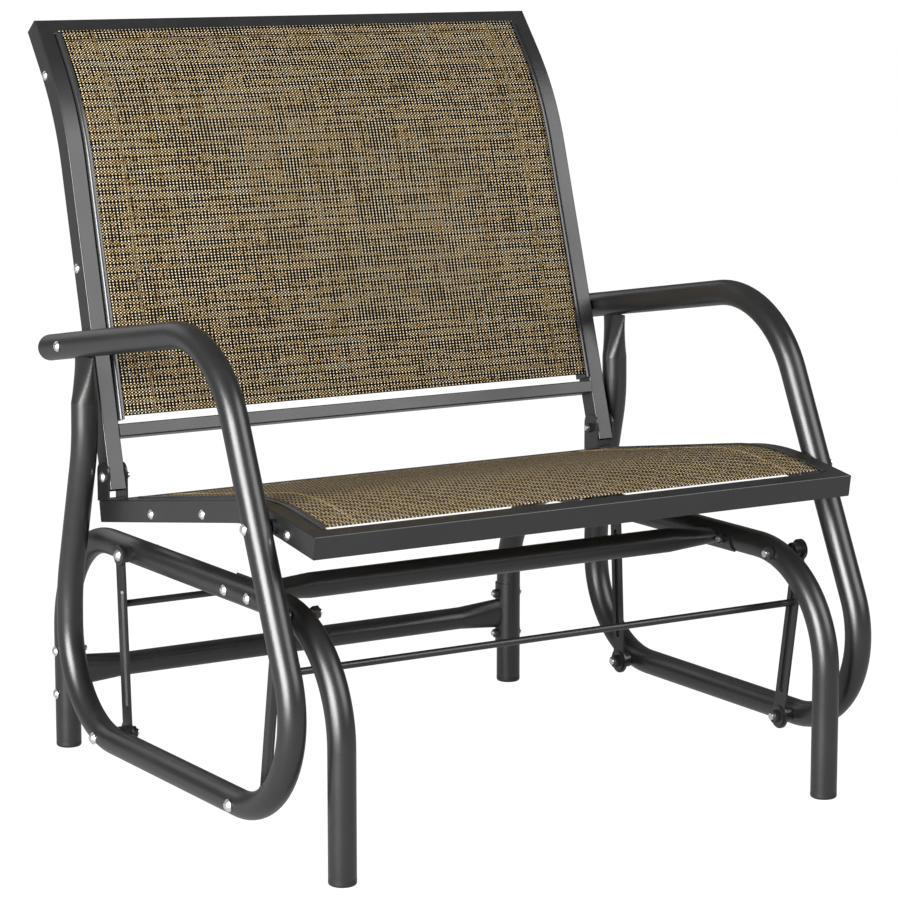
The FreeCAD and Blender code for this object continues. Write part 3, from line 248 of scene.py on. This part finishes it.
# woven mesh: a light bead of long yarn in every cell, and where four cells meet a link of cross yarn, in
# melange streaks along the rows and down the columns; all of it over a dark ground
weaveSet = {
    "across": 0.00446, "along": 0.00340, "wobble": 0.08, "wobbleScale": 90.0,  # cell in metres, sway in cells
    "bead": (0.238, 0.31), "link": (0.205, 0.24), "spotEdge": (1.15, 0.45),  # half sizes in cells, soft rim
    "window": (0.32, 0.36), "windowEdge": (1.2, 0.6),
    "windowAcross": (224.2, 109.0), "windowAlong": (-42.5, 67.0),  # window rows per metre of X and of Y
    "ground": (0.0020, 0.0016, 0.0012), "openGround": (0.115, 0.082, 0.043),
    "rowStreak": 14.0, "columnStreak": 9.0, "rowStep": 3.71, "columnStep": 5.13,  # streaks per metre, yarn apart
    "linkSeed": 3.0, "columnSeed": 7.7, "darkEvery": 3.0,
    "beadShares": (0.44, 0.46, 0.12), "linkShares": (0.60, 0.26, 0.08),  # row streak, column streak, own tone
    "linkShift": (0.015, 0.08, -0.10), "linkHeight": 0.6}  # shift on the hem, around windows, on dark rows
beadColours = [(0.22, (0.065, 0.038, 0.012)), (0.34, (0.42, 0.27, 0.10)), (0.46, (0.74, 0.58, 0.33)),
               (0.62, (0.82, 0.72, 0.51)), (0.84, (0.53, 0.55, 0.49))]
linkColours = [(0.415, (0.002, 0.002, 0.002)), (0.440, (0.034, 0.019, 0.006)), (0.460, (0.46, 0.27, 0.08)),
               (0.53, (0.53, 0.36, 0.15)), (0.60, (0.32, 0.35, 0.33))]


def makeWovenMesh():
    group, given, out = newGroup(
        "wovenMesh", [("Place", "NodeSocketVector", None), ("Hem", "NodeSocketFloat", 0.0),
                      ("Open", "NodeSocketFloat", 0.0)],
        [("Color", "NodeSocketColor"), ("Height", "NodeSocketFloat"), ("Yarn", "NodeSocketFloat")])
    wobble = splitVector(group, noise(group, given["Place"], weaveSet["wobbleScale"], 1.0)["Color"])
    parts = splitVector(group, given["Place"])
    sway = weaveSet["wobble"]
    column, row = [calc(group, "ADD", calc(group, "DIVIDE", parts[axis], weaveSet[size]),
                        remap(group, wobble[axis], 0.0, 1.0, -sway, sway))
                   for axis, size in (("X", "across"), ("Y", "along"))]

    def spots(across, along, size):
        # cell numbers, and how far a place is from the middle of its spot (1 at the spot's rim)
        squares = []
        for place, half in zip((across, along), size):
            offset = calc(group, "SUBTRACT", calc(group, "FRACT", place), 0.5)
            squares.append(calc(group, "POWER", calc(group, "DIVIDE", offset, half), 2.0))
        return calc(group, "FLOOR", across), calc(group, "FLOOR", along), calc(group, "ADD", *squares)

    def streaks(columnNumber, rowNumber, seed):
        # tone along the row's yarn, tone down the column's yarn, and the cell's own tone
        alongRow = joinVector(group, calc(group, "MULTIPLY", parts["X"], weaveSet["rowStreak"]),
                              calc(group, "MULTIPLY", rowNumber, weaveSet["rowStep"]), seed)
        downColumn = joinVector(group, calc(group, "MULTIPLY", columnNumber, weaveSet["columnStep"]),
                                calc(group, "MULTIPLY", parts["Y"], weaveSet["columnStreak"]),
                                seed + weaveSet["columnSeed"])
        cell = addNode(group, "ShaderNodeTexWhiteNoise",
                       {"Vector": joinVector(group, columnNumber, rowNumber, seed)})
        return noise(group, alongRow, 1.0, 2.0)[0], noise(group, downColumn, 1.0, 2.0)[0], cell.outputs["Value"]

    beadColumn, beadRow, beadReach = spots(column, row, weaveSet["bead"])
    linkColumn, linkRow, linkReach = spots(*[calc(group, "ADD", n, 0.5) for n in (column, row)], weaveSet["link"])
    beadMask, linkMask = [remap(group, reach, *weaveSet["spotEdge"], 0.0, 1.0, smooth=True)
                          for reach in (beadReach, linkReach)]
    beadColour = ramp(group, weigh(group, streaks(beadColumn, beadRow, 0.0), weaveSet["beadShares"]), beadColours)
    linkTone = weigh(group, streaks(linkColumn, linkRow, weaveSet["linkSeed"]), weaveSet["linkShares"])
    # every third row is darker; the doubled hem and the yarns around open windows show more links
    darkRow = calc(group, "COMPARE", calc(group, "FLOORED_MODULO", linkRow, weaveSet["darkEvery"]), 0.0, 0.5)
    shift = weigh(group, (given["Hem"], given["Open"], darkRow), weaveSet["linkShift"])
    linkColour = ramp(group, calc(group, "ADD", linkTone, shift), linkColours)
    ground = blendColour(group, given["Open"], weaveSet["ground"], weaveSet["openGround"])
    colour = blendColour(group, linkMask, ground, linkColour)
    colour = blendColour(group, beadMask, colour, beadColour)
    # where the cloth is stretched open, dark windows stand in slanting rows on a lighter ground
    windowAcross, windowAlong = [weigh(group, (parts["X"], parts["Y"]), weaveSet[way])
                                 for way in ("windowAcross", "windowAlong")]
    windowReach = spots(windowAcross, windowAlong, weaveSet["window"])[2]
    windowMask = calc(group, "MULTIPLY", given["Open"],
                      remap(group, windowReach, *weaveSet["windowEdge"], 0.0, 1.0, smooth=True))
    putOut(group, out, Color=blendColour(group, windowMask, colour, weaveSet["ground"]),
           Height=calc(group, "MAXIMUM", beadMask, calc(group, "MULTIPLY", linkMask, weaveSet["linkHeight"])),
           Yarn=calc(group, "MULTIPLY", calc(group, "MAXIMUM", beadMask, linkMask),
                     calc(group, "SUBTRACT", 1.0, windowMask)))
    return group


wovenMesh = makeWovenMesh()

# sling cloth: the weave, with a valley where each seam pulls it down, and painted shade darkening the colour
# along that valley
seamSet = {"sideSpan": (0.0007, 0.0019), "endSpan": (0.0006, 0.0016), "colour": (0.05, 0.035, 0.018),
           "shade": 0.6, "dip": 0.6, "hemFade": 0.001}
yarnSet = {"rough": (0.85, 0.52), "strength": 0.7, "depth": 0.0009, "specular": 0.14}


def makeSlingCloth(look):
    material, tree, shader = newMaterial(look["name"] + "Weave")
    place = addNode(tree, "ShaderNodeUVMap", uv_map="weaveMap").outputs[0]
    edge = splitVector(tree, addNode(tree, "ShaderNodeUVMap", uv_map="hemMap").outputs[0])
    sideHem = remap(tree, edge["X"], look["hem"], look["hem"] - seamSet["hemFade"], 0.0, 1.0)
    weave = useGroup(tree, wovenMesh, Place=place, Hem=sideHem, Open=look["open"])
    sideSeam, endSeam = [remap(tree, calc(tree, "ABSOLUTE", calc(tree, "SUBTRACT", edge[axis], look[hem])),
                               *seamSet[span], 1.0, 0.0)
                         for axis, hem, span in (("X", "hem", "sideSpan"), ("Y", "endHem", "endSpan"))]
    seam = calc(tree, "MAXIMUM", sideSeam, endSeam)
    # painted shade: along each seam valley the weave colour darkens towards the seam colour
    colour = blendColour(tree, calc(tree, "MULTIPLY", seam, seamSet["shade"]), weave["Color"], seamSet["colour"])
    height = calc(tree, "SUBTRACT", weave["Height"], calc(tree, "MULTIPLY", seam, seamSet["dip"]))
    dress(tree, shader, colour, remap(tree, weave["Yarn"], 0.0, 1.0, *yarnSet["rough"]),
          height, yarnSet["strength"], yarnSet["depth"])
    shader.inputs["Specular IOR Level"].default_value = yarnSet["specular"]
    return material


# slings: side view of the cloth as (Y, Z) in metres, one rounded bend, half width at each end; front is -1
# where the sitter's side faces forwards and 1 where it faces up
backSling = {"name": "backSlingCloth", "node": "back_sling", "bend": 0.3321, "half": (0.3174, 0.3107),
             "run": [(0.15313, 0.42185), (0.25133, 0.76432), (0.31684, 0.84817)],
             "hem": 0.0417, "endHem": 0.014, "open": 0.0, "flat": (0.6349, 0.4611), "area": 0.2896,
             "front": -1.0, "bars": ["back_sling_bar_left", "back_sling_bar_right"]}
seatSling = {"name": "seatSlingCloth", "node": "seat_sling", "bend": 0.3525, "half": (0.3182, 0.3182),
             "run": [(0.1075, 0.33480), (-0.2075, 0.38526), (-0.3075, 0.36996)],
             "hem": 0.0417, "endHem": 0.026, "open": 0.9, "flat": (0.6364, 0.4193), "area": 0.2668,
             "front": 1.0, "bars": ["seat_sling_bar_left", "seat_sling_bar_right"]}
clothSet = {"proud": 0.0008, "thick": 0.0009, "rows": 96, "columns": 15, "hemColumns": 4,
            "beforeHem": 0.004, "afterHem": 0.002}


def sideLine(look):
    # straight, arc, straight: the cloth's line seen from the side, as (length so far, point) pairs
    first, corner, last = (Vector(p) for p in look["run"])
    before, after = (first - corner).normalized(), (last - corner).normalized()
    half = before.angle(after) / 2
    reach = look["bend"] / math.tan(half)
    centre = corner + (before + after).normalized() * (look["bend"] / math.sin(half))
    arcStart, arcEnd = corner + before * reach, corner + after * reach
    arm = arcStart - centre
    way = 1 if (-before).cross(after) > 0 else -1
    lengths = [(arcStart - first).length, look["bend"] * (math.pi - 2 * half), (last - arcEnd).length]
    whole = sum(lengths)
    line = []
    for i in range(clothSet["rows"] + 1):
        run = whole * i / clothSet["rows"]
        if run <= lengths[0]:
            point = first.lerp(arcStart, run / lengths[0])
        elif run <= lengths[0] + lengths[1]:
            turn = way * (run - lengths[0]) / look["bend"]
            point = centre + Vector((arm.x * math.cos(turn) - arm.y * math.sin(turn),
                                     arm.x * math.sin(turn) + arm.y * math.cos(turn)))
        else:
            point = arcEnd.lerp(last, (run - lengths[0] - lengths[1]) / lengths[2])
        line.append((run, point))
    return line, whole


def halfAt(look, run, whole):
    return look["half"][0] + (look["half"][1] - look["half"][0]) * run / whole


def outwardFrom(look, along):
    # square to the cloth's line, on the sitter's side
    outward = Vector((-along.y, along.x)).normalized()
    wrongSide = outward.y < 0 if look["front"] > 0 else outward.x > 0
    return -outward if wrongSide else outward


def makeSheet(look):
    line, whole = sideLine(look)
    # columns as shares of the half width, closer together at the seam and on the hem
    middle = 1 - look["hem"] / look["half"][0]
    hemStart = middle + clothSet["afterHem"]
    halfColumns = [middle * i / clothSet["columns"] for i in range(clothSet["columns"])]
    halfColumns += [middle - clothSet["beforeHem"], hemStart]
    halfColumns += [hemStart + (1 - hemStart) * (i + 1) / clothSet["hemColumns"]
                    for i in range(clothSet["hemColumns"])]
    shares = [-h for h in reversed(halfColumns[1:])] + halfColumns
    lastColumn, lastRow = len(shares) - 1, len(line) - 1
    deselectAll()
    bpy.ops.mesh.primitive_grid_add(x_subdivisions=lastColumn, y_subdivisions=lastRow, size=2)
    cloth = bpy.context.object
    cloth.name = look["name"]
    mesh = cloth.data
    mesh.name = look["name"]
    weaveMap = mesh.uv_layers[0]
    weaveMap.name = "weaveMap"
    hemMap = mesh.uv_layers.new(name="hemMap")
    places = {}
    for vertex in mesh.vertices:
        places[vertex.index] = (round((vertex.co.x + 1) / 2 * lastColumn), round((vertex.co.y + 1) / 2 * lastRow))
    for vertex in mesh.vertices:
        i, j = places[vertex.index]
        run, point = line[j]
        along = line[min(j + 1, lastRow)][1] - line[max(j - 1, 0)][1]
        spot = point + outwardFrom(look, along) * clothSet["proud"]
        vertex.co = (shares[i] * halfAt(look, run, whole), spot.x, spot.y)
    for loop in mesh.loops:
        i, j = places[loop.vertex_index]
        run = line[j][0]
        half = halfAt(look, run, whole)
        weaveMap.data[loop.index].uv = (shares[i] * half, run)
        hemMap.data[loop.index].uv = (half * (1 - abs(shares[i])), min(run, whole - run))
    # hems are two layers thick
    layers = cloth.vertex_groups.new(name="layers")
    for index, (i, j) in places.items():
        run = line[j][0]
        hemmed = abs(shares[i]) > middle or min(run, whole - run) < look["endHem"]
        layers.add([index], 1.0 if hemmed else 0.5, "REPLACE")
    wanted = Vector((0, 0, 1)) if look["front"] > 0 else Vector((0, -1, 0))
    wrongSide = mesh.polygons[0].normal.dot(wanted) < 0
    keepOnly(cloth)
    if wrongSide:
        bpy.ops.object.mode_set(mode="EDIT")
        bpy.ops.mesh.select_all(action="SELECT")
        bpy.ops.mesh.flip_normals()
        bpy.ops.object.mode_set(mode="OBJECT")
    bpy.ops.object.shade_smooth()
    solid = cloth.modifiers.new("layers", "SOLIDIFY")
    solid.thickness = clothSet["thick"] * 2
    solid.offset = -1
    solid.vertex_group = "layers"
    solid.use_rim = True
    bpy.ops.object.modifier_apply(modifier="layers")
    mesh.materials.append(makeSlingCloth(look))
    print(look["name"], "length along the cloth %.4f m" % whole)
    return cloth


# stitches: one thread stitch modelled, then laid in rows along the hems
stitchSet = {"pitch": 0.0040, "long": 0.00150, "thin": 0.00055, "dive": 0.00045, "lift": 0.00015,
             "tip": 0.8, "sideRows": (-0.0012, 0.0012)}


def makeStitch():
    deselectAll()
    bpy.ops.mesh.primitive_uv_sphere_add(segments=8, ring_count=6, radius=1.0,
                                         rotation=(math.radians(90), 0, 0))
    stitch = bpy.context.object
    stitch.scale = (stitchSet["thin"], stitchSet["thin"], stitchSet["long"])
    bpy.ops.object.transform_apply(location=False, rotation=True, scale=True)
    mesh = stitch.data
    bpy.ops.object.mode_set(mode="EDIT")
    bpy.ops.mesh.select_all(action="DESELECT")
    bpy.ops.object.mode_set(mode="OBJECT")
    for vertex in mesh.vertices:
        vertex.select = abs(vertex.co.y) > stitchSet["long"] * stitchSet["tip"]
    # the thread dives into the cloth at both ends
    bpy.ops.object.mode_set(mode="EDIT")
    bpy.ops.transform.translate(value=(0, 0, -stitchSet["dive"]))
    bpy.ops.object.mode_set(mode="OBJECT")
    shape = [vertex.co.copy() for vertex in mesh.vertices]
    faces = [tuple(face.vertices) for face in mesh.polygons]
    bpy.data.objects.remove(stitch)
    return shape, faces


stitchShape, stitchFaces = makeStitch()

# thread: twisted, in uneven gold, with painted shade in the grooves of the twist
threadSet = {"twistScale": 900.0, "distortion": 2.0, "dyeScale": 160.0, "shade": (0.55, 1.0),
             "gold": [(0.35, (0.20, 0.13, 0.045)), (0.50, (0.40, 0.28, 0.12)), (0.65, (0.55, 0.45, 0.27))],
             "rough": (0.7, 0.45), "strength": 0.6, "depth": 0.0002, "specular": 0.3}


def makeThread():
    material, tree, shader = newMaterial("hemThread")
    place = addNode(tree, "ShaderNodeTexCoord").outputs["Object"]
    twist = addNode(tree, "ShaderNodeTexWave", {"Vector": place, "Scale": threadSet["twistScale"],
                                                "Distortion": threadSet["distortion"]},
                    bands_direction="DIAGONAL").outputs[1]
    gold = ramp(tree, noise(tree, place, threadSet["dyeScale"], 2.0)[0], threadSet["gold"])
    # painted shade: the colour darkens in the grooves between the twisted plies
    shade = remap(tree, twist, 0.0, 1.0, *threadSet["shade"])
    colour = blendColour(tree, 1.0, gold, joinVector(tree, shade, shade, shade), kind="MULTIPLY")
    dress(tree, shader, colour, remap(tree, twist, 0.0, 1.0, *threadSet["rough"]),
          twist, threadSet["strength"], threadSet["depth"])
    shader.inputs["Specular IOR Level"].default_value = threadSet["specular"]
    return material


hemThread = makeThread()


def makeStitches(look):
    line, whole = sideLine(look)

    def spotAt(across, run):
        # a place on the front of the cloth, with the directions along it and out of it
        step = min(int(run / whole * clothSet["rows"]), clothSet["rows"] - 1)
        (runA, pointA), (runB, pointB) = line[step], line[step + 1]
        point = pointA.lerp(pointB, (run - runA) / (runB - runA))
        along = (pointB - pointA).normalized()
        outward = outwardFrom(look, along)
        spot = point + outward * (clothSet["proud"] + stitchSet["lift"])
        return (Vector((across, spot.x, spot.y)), Vector((0, along.x, along.y)),
                Vector((0, outward.x, outward.y)))

    spots = []
    for offset in stitchSet["sideRows"]:
        for n in range(int(whole / stitchSet["pitch"])):
            run = (n + 0.5) * stitchSet["pitch"]
            across = halfAt(look, run, whole) - look["hem"] + offset
            spots += [spotAt(side * across, run) for side in (-1, 1)]
    for run in (look["endHem"], whole - look["endHem"]):
        half = halfAt(look, run, whole)
        for n in range(int(2 * half / stitchSet["pitch"])):
            spot, _, outward = spotAt(-half + (n + 0.5) * stitchSet["pitch"], run)
            spots.append((spot, Vector((1, 0, 0)), outward))
    points, faces = [], []
    for spot, along, outward in spots:
        first = len(points)
        beside = along.cross(outward)
        points += [spot + beside * p.x + along * p.y + outward * p.z for p in stitchShape]
        faces += [tuple(first + i for i in face) for face in stitchFaces]
    mesh = bpy.data.meshes.new(look["name"] + "Stitches")
    mesh.from_pydata(points, [], faces)
    stitches = bpy.data.objects.new(look["name"] + "Stitches", mesh)
    scene.collection.objects.link(stitches)
    mesh.materials.append(hemThread)
    keepOnly(stitches)
    bpy.ops.object.mode_set(mode="EDIT")
    bpy.ops.mesh.select_all(action="SELECT")
    bpy.ops.mesh.normals_make_consistent(inside=False)
    bpy.ops.object.mode_set(mode="OBJECT")
    bpy.ops.object.shade_smooth()
    print(look["name"], "stitches:", len(spots))
    return stitches


def finishSheet(cloth, look, extras):
    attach(cloth, "carriage")
    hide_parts(look["node"])
    for extra in extras:
        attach(extra, "carriage")


for look in (backSling, seatSling):
    finishSheet(makeSheet(look), look, [makeStitches(look)])
print("slings stretched")


# studio: a floor that the camera sees white, a square key panel on the left, a large dimmer one high on the
# right and a faint one behind
studioSet = {
    "floorSize": 300.0, "floorPaint": 0.30, "floorGlow": 1.30, "cameraShare": 0.78, "glossShare": 0.27,
    "world": 0.14, "skyGloss": 0.15,
    "lights": [
        {"name": "leftKey", "place": (-3.05, -1.57, 1.25), "aim": (0.0, 0.0, 0.45), "size": (2.2, 2.2),
         "power": 280},
        {"name": "rightPanel", "place": (1.95, -3.05, 2.65), "aim": (0.0, 0.2, 0.6), "size": (2.7, 2.8),
         "power": 96},
        {"name": "backPanel", "place": (-0.6, 3.2, 2.2), "aim": (0.0, 0.0, 0.45), "size": (3.0, 1.6),
         "power": 12},
    ]}


def rayKinds(tree):
    # rays that come straight from the camera or through glass, and rays that a glossy surface sends on
    ray = addNode(tree, "ShaderNodeLightPath").outputs
    return calc(tree, "MAXIMUM", ray["Is Camera Ray"], ray["Is Transmission Ray"]), ray["Is Glossy Ray"]


def makeFloor():
    deselectAll()
    bpy.ops.mesh.primitive_plane_add(size=studioSet["floorSize"], location=(0, 0, 0))
    floor = bpy.context.object
    floor.name = "studioFloor"
    material, tree, shader = newMaterial("floorWhite")
    tree.nodes.remove(shader)
    seen, glossy = rayKinds(tree)
    share = calc(tree, "MAXIMUM", calc(tree, "MULTIPLY", seen, studioSet["cameraShare"]),
                 calc(tree, "MULTIPLY", glossy, studioSet["glossShare"]))
    grey = studioSet["floorPaint"]
    paint = addNode(tree, "ShaderNodeBsdfDiffuse", {"Color": (grey, grey, grey, 1)}).outputs[0]
    glow = addNode(tree, "ShaderNodeEmission", {"Strength": studioSet["floorGlow"]}).outputs[0]
    mixed = addNode(tree, "ShaderNodeMixShader", {0: share, 1: paint, 2: glow}).outputs[0]
    tree.links.new(mixed, tree.nodes["Material Output"].inputs["Surface"])
    floor.data.materials.append(material)


def makeWorld():
    world = bpy.data.worlds.new("studioWorld")
    scene.world = world
    world.use_nodes = True
    tree = world.node_tree
    seen, glossy = rayKinds(tree)
    shown = calc(tree, "MAXIMUM", seen, calc(tree, "MULTIPLY", glossy, studioSet["skyGloss"]))
    background = tree.nodes["Background"].inputs
    tree.links.new(calc(tree, "MAXIMUM", shown, studioSet["world"]), background["Strength"])
    background["Color"].default_value = (1, 1, 1, 1)


def makeLights():
    for lamp in studioSet["lights"]:
        deselectAll()
        bpy.ops.object.light_add(type="AREA", location=lamp["place"])
        light = bpy.context.object
        light.name = lamp["name"]
        aim = Vector(lamp["aim"]) - Vector(lamp["place"])
        light.rotation_euler = aim.to_track_quat("-Z", "Y").to_euler()
        light.data.shape = "RECTANGLE"
        light.data.size, light.data.size_y = lamp["size"]
        light.data.energy = lamp["power"]
        light.visible_camera = False


makeFloor()
makeWorld()
makeLights()
print("studio lit")
